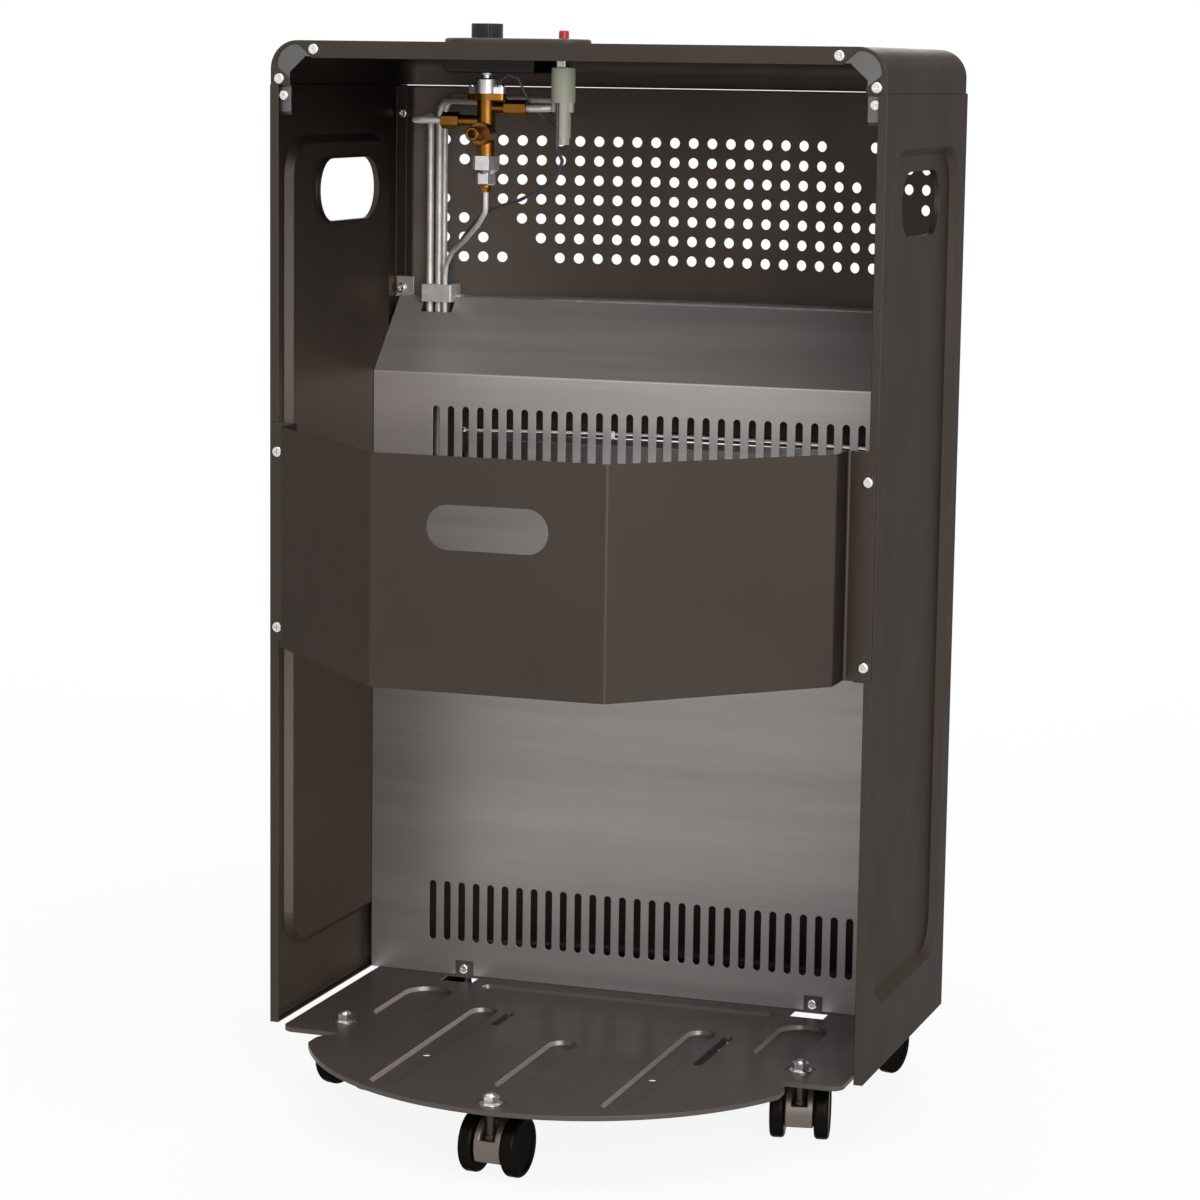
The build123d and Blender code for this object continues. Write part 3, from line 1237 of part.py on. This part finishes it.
with BuildPart() as guard_grille:
    with Locations(*[(0, bow_centre, deck_height + grille_low + row * grille_rise / grille_count)
                     for row in range(grille_count + 1)]):
        add(grille_bar.part)
    for x in (-grille_half + 3, -grille_half / 3, grille_half / 3, grille_half - 3):
        with Locations((x, bow_centre - sqrt(post_line**2 - x**2), deck_height + grille_low - 2)):
            Cylinder(grille_post, grille_rise + 4, align=(Align.CENTER, Align.CENTER, Align.MIN))
finish(guard_grille, "guard_grille")
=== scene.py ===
import bpy
import math
from mathutils import Matrix, Vector


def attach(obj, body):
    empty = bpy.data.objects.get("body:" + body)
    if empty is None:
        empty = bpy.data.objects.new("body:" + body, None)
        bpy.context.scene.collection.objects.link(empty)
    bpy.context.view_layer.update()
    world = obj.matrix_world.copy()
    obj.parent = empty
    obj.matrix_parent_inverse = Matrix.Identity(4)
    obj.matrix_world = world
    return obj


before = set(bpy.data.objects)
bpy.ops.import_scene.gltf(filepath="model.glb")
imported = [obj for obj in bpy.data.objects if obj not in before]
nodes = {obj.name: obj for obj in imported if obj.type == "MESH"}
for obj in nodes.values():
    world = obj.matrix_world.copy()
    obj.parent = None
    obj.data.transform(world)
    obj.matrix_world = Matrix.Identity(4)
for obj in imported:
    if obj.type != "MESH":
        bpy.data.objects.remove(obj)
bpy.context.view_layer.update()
scene = bpy.context.scene

white = (1.0, 1.0, 1.0)

# ---- camera: the photograph's view from behind ---------------------------------------------
# The place and the axes were fitted to the cabinet's edges and screws in the photograph.
camera_place = (-0.7603, 2.2122, 0.7013)
camera_right = Vector((-0.9454, -0.3255, 0.0138))
camera_up = Vector((0.0618, -0.1375, 0.9886))
camera_back = Vector((-0.3199, 0.9355, 0.1502))

camera_data = bpy.data.cameras.new("camera")
camera_data.sensor_fit = "HORIZONTAL"
camera_data.sensor_width = 36.0
camera_data.lens = 105.516
camera_data.clip_start = 0.05
camera_data.clip_end = 60.0
camera = bpy.data.objects.new("camera", camera_data)
scene.collection.objects.link(camera)
scene.camera = camera
turn = Matrix((camera_right, camera_up, camera_back)).transposed().to_4x4()
camera.matrix_world = Matrix.Translation(camera_place) @ turn

# ---- node helpers --------------------------------------------------------------------------
# Most of a noise texture's values lie between these two.
noise_low, noise_high = 0.3, 0.7
# The sockets that a Mix node uses for colours. It has others of the same name for numbers.
mix_share, mix_first, mix_second, mix_result = 0, 6, 7, 2


def feed(tree, value, socket):
    """Gives a socket a plain number or a plain colour, or links another socket to it."""
    if isinstance(value, (int, float)):
        socket.default_value = value
    elif isinstance(value, tuple):
        socket.default_value = (*value, 1.0)
    else:
        tree.links.new(value, socket)


def calculate(tree, operation, first, second):
    """The result of a Math node for two values, each a socket or a plain number."""
    node = tree.nodes.new("ShaderNodeMath")
    node.operation = operation
    feed(tree, first, node.inputs[0])
    feed(tree, second, node.inputs[1])
    return node.outputs[0]


def pass_over(tree, source, start, end, low=0.0, high=1.0):
    """A value that goes from low to high as the source goes from start to end."""
    node = tree.nodes.new("ShaderNodeMapRange")
    node.inputs["From Min"].default_value = start
    node.inputs["From Max"].default_value = end
    node.inputs["To Min"].default_value = low
    node.inputs["To Max"].default_value = high
    tree.links.new(source, node.inputs["Value"])
    return node.outputs["Result"]


def split(tree, vector):
    """The X, Y and Z sockets of a vector."""
    node = tree.nodes.new("ShaderNodeSeparateXYZ")
    tree.links.new(vector, node.inputs[0])
    return node.outputs["X"], node.outputs["Y"], node.outputs["Z"]


def seen_rays(tree):
    """A socket that is 1 for rays from the camera, a glossy surface or glass, and 0 for the rest."""
    rays = tree.nodes.new("ShaderNodeLightPath").outputs
    seen_or_mirrored = calculate(tree, "MAXIMUM", rays["Is Camera Ray"], rays["Is Glossy Ray"])
    return calculate(tree, "MAXIMUM", seen_or_mirrored, rays["Is Transmission Ray"])


def mix_shaders(tree, share, first, second):
    """A mix of two shaders' outputs by a socket."""
    node = tree.nodes.new("ShaderNodeMixShader")
    for source, socket in zip((share, first, second), node.inputs):
        tree.links.new(source, socket)
    return node.outputs[0]


def shade(colour, factor):
    return tuple(min(1.0, part * factor) for part in colour)


def grey(value):
    return (value, value, value)


class Look:
    """A node material: its shader, with short calls to add the textures that feed it."""

    def __init__(self, name, colour, metallic=0.0, roughness=0.5, edge=1.0, specular=0.5):
        self.material = bpy.data.materials.new(name)
        self.material.use_nodes = True
        self.tree = self.material.node_tree
        self.shader = self.tree.nodes["Principled BSDF"]
        feed(self.tree, colour, self.shader.inputs["Base Color"])
        feed(self.tree, metallic, self.shader.inputs["Metallic"])
        feed(self.tree, roughness, self.shader.inputs["Roughness"])
        feed(self.tree, grey(edge), self.shader.inputs["Specular Tint"])
        feed(self.tree, specular, self.shader.inputs["Specular IOR Level"])
        coordinates = self.node("ShaderNodeTexCoord").outputs
        self.place = coordinates["Object"]
        self.facing = coordinates["Normal"]
        self.normal = None

    def node(self, kind, **settings):
        made = self.tree.nodes.new(kind)
        for key, value in settings.items():
            setattr(made, key, value)
        return made

    def link(self, source, target):
        self.tree.links.new(source, target)

    def noise(self, scale, stretch=(1, 1, 1), detail=3.0):
        """Noise whose scale counts features per metre, drawn out along an axis by a small stretch."""
        mapping = self.node("ShaderNodeMapping")
        mapping.inputs["Scale"].default_value = stretch
        self.link(self.place, mapping.inputs["Vector"])
        texture = self.node("ShaderNodeTexNoise")
        texture.inputs["Scale"].default_value = scale
        texture.inputs["Detail"].default_value = detail
        self.link(mapping.outputs["Vector"], texture.inputs["Vector"])
        return texture.outputs["Fac"]

    def ramp(self, source, low, high, start=noise_low, end=noise_high):
        """A colour that goes from low to high as the source goes from start to end."""
        ramp = self.node("ShaderNodeValToRGB")
        ramp.color_ramp.elements[0].position = start
        ramp.color_ramp.elements[1].position = end
        ramp.color_ramp.elements[0].color = (*low, 1.0)
        ramp.color_ramp.elements[1].color = (*high, 1.0)
        self.link(source, ramp.inputs["Fac"])
        return ramp.outputs["Color"]

    def tones(self, source, colour, darkest, lightest):
        """Shades of one colour between two factors of it."""
        return self.ramp(source, shade(colour, darkest), shade(colour, lightest))

    def mix(self, share, first, second, kind="MIX"):
        """A mix of two colours, each a socket or a plain colour, by a socket or a plain share."""
        mix = self.node("ShaderNodeMix", data_type="RGBA", blend_type=kind)
        feed(self.tree, share, mix.inputs[mix_share])
        feed(self.tree, first, mix.inputs[mix_first])
        feed(self.tree, second, mix.inputs[mix_second])
        return mix.outputs[mix_result]

    def colour(self, source):
        self.link(source, self.shader.inputs["Base Color"])

    def colour_so_far(self):
        return self.shader.inputs["Base Color"].links[0].from_socket

    def rough(self, source, low, high):
        spread = pass_over(self.tree, source, noise_low, noise_high, low, high)
        self.link(spread, self.shader.inputs["Roughness"])

    def soften(self, radius):
        """Rounds the shading at sharp edges, as a coat or a tumbled edge does."""
        bevel = self.node("ShaderNodeBevel", samples=6)
        bevel.inputs["Radius"].default_value = radius
        self.normal = bevel.outputs["Normal"]
        self.link(self.normal, self.shader.inputs["Normal"])

    def bump(self, source, depth, strength):
        """Raises and sinks the surface by a depth in metres, on top of what shapes it so far."""
        bump = self.node("ShaderNodeBump")
        bump.inputs["Distance"].default_value = depth
        bump.inputs["Strength"].default_value = strength
        self.link(source, bump.inputs["Height"])
        if self.normal is not None:
            self.link(self.normal, bump.inputs["Normal"])
        self.normal = bump.outputs["Normal"]
        self.link(self.normal, self.shader.inputs["Normal"])


# ---- kinds of material: roughness is a pair, the smoothest and the roughest spots ------------
def powder_coat(name, colour, roughness, metallic=0.8, specular=0.03):
    """Satin powder coat: fine orange peel, slight cloudiness, softened sheet edges."""
    look = Look(name, colour, metallic, roughness[0], edge=0.4, specular=specular)
    cloudy = look.tones(look.noise(7.0, detail=2.0), colour, darkest=0.92, lightest=1.08)
    grainy = look.tones(look.noise(2600.0, detail=1.0), colour, darkest=0.6, lightest=1.7)
    look.colour(look.mix(0.12, cloudy, grainy))
    look.rough(look.noise(18.0, detail=4.0), *roughness)
    look.soften(radius=0.0009)
    look.bump(look.noise(900.0, detail=2.0), depth=0.00003, strength=0.5)
    return look


def brushed(name, colour, roughness, stretch, streak=0.14, metallic=1.0, wave=0.35):
    """Cold-rolled or galvanised sheet with long streaks along one axis and soft waves."""
    look = Look(name, colour, metallic, roughness[0])
    fine = look.noise(420.0, stretch)
    broad = look.noise(26.0, stretch, detail=2.0)
    fine_tone = look.tones(fine, colour, darkest=1 - streak, lightest=1 + streak)
    broad_tone = look.tones(broad, colour, darkest=0.82, lightest=1.12)
    look.colour(look.mix(0.45, fine_tone, broad_tone))
    look.rough(look.noise(60.0, stretch), *roughness)
    look.soften(radius=0.0005)
    look.bump(fine, depth=0.00002, strength=0.35)
    look.bump(look.noise(9.0, stretch, detail=1.0), depth=0.0007, strength=wave)
    return look


def cast_metal(name, colour, roughness, grain=900.0, depth=0.00004, metallic=1.0):
    """Turned or cast fitting: small tonal spots and a fine surface."""
    look = Look(name, colour, metallic, roughness[0])
    look.colour(look.tones(look.noise(140.0), colour, darkest=0.86, lightest=1.1))
    look.rough(look.noise(220.0), *roughness)
    look.soften(radius=0.0004)
    look.bump(look.noise(grain, detail=2.0), depth, strength=0.4)
    return look


def plastic(name, colour, roughness, specular=0.5):
    """Moulded plastic with a fine spark-eroded surface."""
    look = Look(name, colour, roughness=roughness[0], specular=specular)
    look.colour(look.tones(look.noise(60.0, detail=2.0), colour, darkest=0.93, lightest=1.07))
    look.rough(look.noise(260.0), *roughness)
    look.soften(radius=0.0004)
    look.bump(look.noise(700.0, detail=2.0), depth=0.00004, strength=0.5)
    return look


def perforated_ceramic(name, body, pore):
    """A burner plaque: rows of fine pores with painted shade in them, and a light scorching."""
    look = Look(name, body, roughness=0.85)
    pores = look.node("ShaderNodeTexVoronoi", feature="F1")
    pores.inputs["Scale"].default_value = 520.0
    pores.inputs["Randomness"].default_value = 0.0
    look.link(look.place, pores.inputs["Vector"])
    distance = pores.outputs["Distance"]
    # The pores' dark tone is painted shade inside the fine holes.
    pore_tone = look.ramp(distance, pore, body, start=0.22, end=0.34)
    scorch = look.ramp(look.noise(14.0), (0.86, 0.80, 0.70), white, start=0.35, end=0.65)
    look.colour(look.mix(1.0, pore_tone, scorch, "MULTIPLY"))
    look.bump(distance, depth=0.0004, strength=0.6)
    return look


def painted_light_by_height(look, low, high, bottom, top, inside_only=False):
    """Paints light and shade into a look's colour: multiplies it by low at a bottom height, passing to
    high at a top height.

    With inside_only it does so only on faces that look towards the cabinet's middle.
    """
    # The factor below is painted light and shade, not a colour of the material.
    x, _, z = split(look.tree, look.place)
    factor = look.mix(pass_over(look.tree, z, bottom, top), grey(low), grey(high))
    share = 1.0
    if inside_only:
        facing_x, _, _ = split(look.tree, look.facing)
        outward = calculate(look.tree, "MULTIPLY", x, facing_x)
        share = calculate(look.tree, "LESS_THAN", outward, 0.0)
    look.colour(look.mix(share, look.colour_so_far(), factor, "MULTIPLY"))


def painted_lit_groove_walls(look):
    """Paints a highlight onto the pressed grooves' walls that slope towards -X, as painted light from a
    lamp on that side.
    """
    painted_highlight_colour = (0.40, 0.345, 0.325)
    slight_slope, full_slope = -0.2, -0.6
    least_upward = 0.12
    facing_x, _, facing_z = split(look.tree, look.facing)
    slope = pass_over(look.tree, facing_x, slight_slope, full_slope)
    upward = calculate(look.tree, "GREATER_THAN", facing_z, least_upward)
    lit_share = calculate(look.tree, "MULTIPLY", slope, upward)
    look.colour(look.mix(lit_share, look.colour_so_far(), painted_highlight_colour))


# ---- materials -----------------------------------------------------------------------------
long_streaks_x = (0.05, 1.0, 1.0)
short_streaks_x = (0.1, 1.0, 1.0)
short_streaks_z = (1.0, 1.0, 0.2)

paint = powder_coat("bronze_powder_coat", (0.064, 0.051, 0.043), roughness=(0.36, 0.46))
side_paint_with_painted_light = powder_coat("side_powder_coat_with_painted_light", (0.062, 0.050, 0.042), roughness=(0.36, 0.46))
# Painted light and shade on the side panels' inner faces: lighter low down, darker near the top under the
# cover.
painted_light_by_height(side_paint_with_painted_light, low=2.6, high=0.8, bottom=0.45, top=0.66, inside_only=True)
plate_paint = powder_coat("base_powder_coat", (0.095, 0.082, 0.075), roughness=(0.32, 0.42),
                          metallic=0.35, specular=0.30)
# Painted highlight: the base plate's groove walls that face -X are lightened as if lit from that side.
painted_lit_groove_walls(plate_paint)
dark_steel = powder_coat("black_steel", (0.040, 0.038, 0.035), roughness=(0.42, 0.55))
stem_coat = powder_coat("coated_steel_pin", (0.060, 0.045, 0.036), roughness=(0.34, 0.44))
caster_plastic = powder_coat("metallic_caster_plastic", (0.165, 0.142, 0.127), roughness=(0.32, 0.42))
tread = powder_coat("wheel_plastic", (0.0085, 0.0072, 0.0062), roughness=(0.30, 0.40))

sheet_metal = brushed("rolled_sheet", (0.52, 0.485, 0.47), roughness=(0.34, 0.46),
                      stretch=long_streaks_x, streak=0.05, metallic=0.7, wave=0.2)
# Painted light and shade on the partition: darker low down under the guard, lighter on the band above it.
painted_light_by_height(sheet_metal, low=0.62, high=1.15, bottom=0.25, top=0.46)
bracket_metal = brushed("galvanised_bracket", (0.15, 0.145, 0.14), roughness=(0.34, 0.46),
                        stretch=short_streaks_z, streak=0.08)
burner_metal = brushed("burner_sheet", (0.50, 0.49, 0.47), roughness=(0.34, 0.48),
                       stretch=short_streaks_x)
mirror_metal = brushed("reflector_sheet", (0.74, 0.74, 0.73), roughness=(0.14, 0.24),
                       stretch=long_streaks_x, streak=0.05)

brass = cast_metal("brass", (0.24, 0.105, 0.018), roughness=(0.26, 0.38))
plated = cast_metal("plated_fitting", (0.70, 0.69, 0.68), roughness=(0.32, 0.46))
zinc = cast_metal("zinc_plated_steel", (0.72, 0.72, 0.70), roughness=(0.22, 0.34))
pipe_metal = cast_metal("drawn_pipe", (0.72, 0.68, 0.645), roughness=(0.46, 0.56),
                        grain=200.0, depth=0.000005, metallic=0.6)
pilot_metal = cast_metal("annealed_pilot_pipe", (0.78, 0.735, 0.71), roughness=(0.42, 0.52),
                         grain=200.0, depth=0.000005, metallic=0.15)
chrome = cast_metal("chrome_wire", (0.80, 0.80, 0.80), roughness=(0.08, 0.14), grain=200.0, depth=0.00001)
block_metal = cast_metal("pressed_block", (0.62, 0.60, 0.585), roughness=(0.42, 0.55), metallic=0.5)

black_plastic = plastic("black_plastic", (0.016, 0.0135, 0.012), roughness=(0.34, 0.46), specular=0.30)
plate_plastic = plastic("bronze_plastic", (0.080, 0.068, 0.061), roughness=(0.40, 0.50), specular=0.22)
piezo_plastic = plastic("grey_green_plastic", (0.50, 0.50, 0.40), roughness=(0.42, 0.55))
red_plastic = plastic("red_plastic", (0.50, 0.020, 0.012), roughness=(0.22, 0.30))
sleeve = plastic("blue_grey_sleeve", (0.050, 0.056, 0.072), roughness=(0.34, 0.46))
glazed_ceramic = plastic("glazed_ceramic", (0.78, 0.76, 0.72), roughness=(0.20, 0.30))
plaque_ceramic = perforated_ceramic("perforated_ceramic", body=(0.80, 0.70, 0.56), pore=(0.20, 0.15, 0.11))


def dress(look, *names):
    """Puts a look on CAD nodes."""
    for name in names:
        materials = nodes[name].data.materials
        materials.clear()
        materials.append(look.material)


dress(paint, "top_cover", "front_panel", "bottle_guard")
dress(side_paint_with_painted_light, "side_panel_left", "side_panel_right")
dress(plate_paint, "base_plate")
dress(sheet_metal, "partition")
dress(bracket_metal, "corner_bracket_left", "corner_bracket_right")
dress(burner_metal, "burner_box")
dress(mirror_metal, "reflector")
dress(brass, "valve_body", "union_nuts", "pilot_nut", "burner_injectors", "pilot_burner")
dress(plated, "valve_bonnet", "outlet_fitting", "valve_spindle")
dress(zinc, "cover_screws", "guard_screws", "frame_screws", "bonnet_screws", "caster_nuts",
      "spindle_collar", "piezo_nut")
dress(stem_coat, "caster_stems")
dress(pipe_metal, "feed_tube_left", "feed_tube_middle", "feed_tube_right", "thermocouple")
dress(pilot_metal, "pilot_tube")
dress(chrome, "guard_grille")
dress(dark_steel, "valve_bracket")
dress(block_metal, "terminal_box")
dress(black_plastic, "knob")
dress(plate_plastic, "control_plate")
dress(piezo_plastic, "piezo_body")
dress(red_plastic, "piezo_button")
dress(sleeve, "ignition_wire", "earth_lead")
dress(plaque_ceramic, "ceramic_plaque_left", "ceramic_plaque_middle", "ceramic_plaque_right")
dress(glazed_ceramic, "spark_electrode")
for name in nodes:
    if name.endswith("_housing"):
        dress(caster_plastic, name)
    elif "_wheel_" in name:
        dress(tread, name)

# ---- rivets in the plate's narrow pockets --------------------------------------------------
pocket_floor = 0.0445
rivet_radius = 0.0021
rivet_rise = 0.0013
rivet_sides = 28
# Each pair is a share of the radius and a share of the rise, from the skirt up to the dome.
rivet_profile = [(1.0, 0.0), (1.0, 0.22), (0.93, 0.45), (0.78, 0.70), (0.55, 0.88), (0.28, 0.97)]


def domed_rivet(name, x, y):
    """A round rivet head: a straight skirt and a curved dome, closed underneath."""
    points = []
    for reach, rise in rivet_profile:
        radius = rivet_radius * reach
        height = pocket_floor + rivet_rise * rise
        for step in range(rivet_sides):
            angle = 2 * math.pi * step / rivet_sides
            points.append((x + radius * math.cos(angle), y + radius * math.sin(angle), height))
    top = len(points)
    points.append((x, y, pocket_floor + rivet_rise))
    underside = len(points)
    points.append((x, y, pocket_floor))
    faces = []
    for ring in range(len(rivet_profile) - 1):
        low, high = ring * rivet_sides, (ring + 1) * rivet_sides
        for step in range(rivet_sides):
            following = (step + 1) % rivet_sides
            faces.append((low + step, low + following, high + following, high + step))
    last = (len(rivet_profile) - 1) * rivet_sides
    for step in range(rivet_sides):
        following = (step + 1) % rivet_sides
        faces.append((last + step, last + following, top))
        faces.append((following, step, underside))
    mesh = bpy.data.meshes.new(name)
    mesh.from_pydata(points, [], faces)
    mesh.polygons.foreach_set("use_smooth", [True] * len(faces))
    rivet = bpy.data.objects.new(name, mesh)
    scene.collection.objects.link(rivet)
    mesh.materials.append(zinc.material)
    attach(rivet, "cabinet")


domed_rivet("pocket_rivet_right_far", x=-0.0955, y=-0.0140)
domed_rivet("pocket_rivet_right_near", x=-0.0955, y=0.0058)
domed_rivet("pocket_rivet_left", x=0.0640, y=-0.0155)

# ---- light: a white background as it is seen, and weaker as it lights the object -----------
world = bpy.data.worlds.new("studio")
scene.world = world
world.use_nodes = True
world_tree = world.node_tree
ambient = world_tree.nodes["Background"]
feed(world_tree, white, ambient.inputs["Color"])
ambient.inputs["Strength"].default_value = 0.34
backdrop = world_tree.nodes.new("ShaderNodeBackground")
feed(world_tree, white, backdrop.inputs["Color"])
backdrop.inputs["Strength"].default_value = 1.0
surroundings = mix_shaders(world_tree, seen_rays(world_tree), ambient.outputs[0], backdrop.outputs[0])
world_tree.links.new(surroundings, world_tree.nodes["World Output"].inputs["Surface"])


def softbox(name, place, target, size, power):
    """A rectangular area lamp at a place, facing a target."""
    data = bpy.data.lights.new(name, "AREA")
    data.shape = "RECTANGLE"
    data.size, data.size_y = size
    data.energy = power
    lamp = bpy.data.objects.new(name, data)
    lamp.location = place
    lamp.rotation_euler = (Vector(target) - Vector(place)).to_track_quat("-Z", "Y").to_euler()
    scene.collection.objects.link(lamp)


softbox("key", place=(-1.9, 2.7, 1.3), target=(0, 0, 0.38), size=(2.2, 2.2), power=74.0)
softbox("front_fill", place=(0.9, -2.4, 1.5), target=(0, 0, 0.4), size=(1.8, 1.6), power=30.0)
softbox("top", place=(-0.3, 0.4, 2.6), target=(0, 0, 0.4), size=(1.4, 1.4), power=22.0)

# ---- floor: it shows the object's shadow, and goes over into the white behind it far away --
floor_span = 30.0
fade_start, fade_end = 0.6, 2.6
least_glow = 0.9

floor_corners = [(x * floor_span, y * floor_span, 0) for x, y in ((-1, -1), (1, -1), (1, 1), (-1, 1))]
floor_mesh = bpy.data.meshes.new("floor")
floor_mesh.from_pydata(floor_corners, [], [(0, 1, 2, 3)])
floor = bpy.data.objects.new("floor", floor_mesh)
scene.collection.objects.link(floor)

floor_look = Look("pale_floor", grey(0.92), roughness=0.9, specular=0.1)
floor_look.colour(floor_look.ramp(floor_look.noise(3.0, detail=2.0), grey(0.915), grey(0.925)))
glow = floor_look.node("ShaderNodeEmission")
feed(floor_look.tree, white, glow.inputs["Color"])
glow.inputs["Strength"].default_value = 1.0
reach = floor_look.node("ShaderNodeVectorMath", operation="LENGTH")
floor_look.link(floor_look.place, reach.inputs[0])
fade = pass_over(floor_look.tree, reach.outputs["Value"], fade_start, fade_end, low=least_glow)
glow_share = calculate(floor_look.tree, "MULTIPLY", seen_rays(floor_look.tree), fade)
floor_surface = mix_shaders(floor_look.tree, glow_share, floor_look.shader.outputs[0], glow.outputs[0])
floor_look.link(floor_surface, floor_look.tree.nodes["Material Output"].inputs["Surface"])
floor_mesh.materials.append(floor_look.material)

scene.view_settings.view_transform = "Standard"
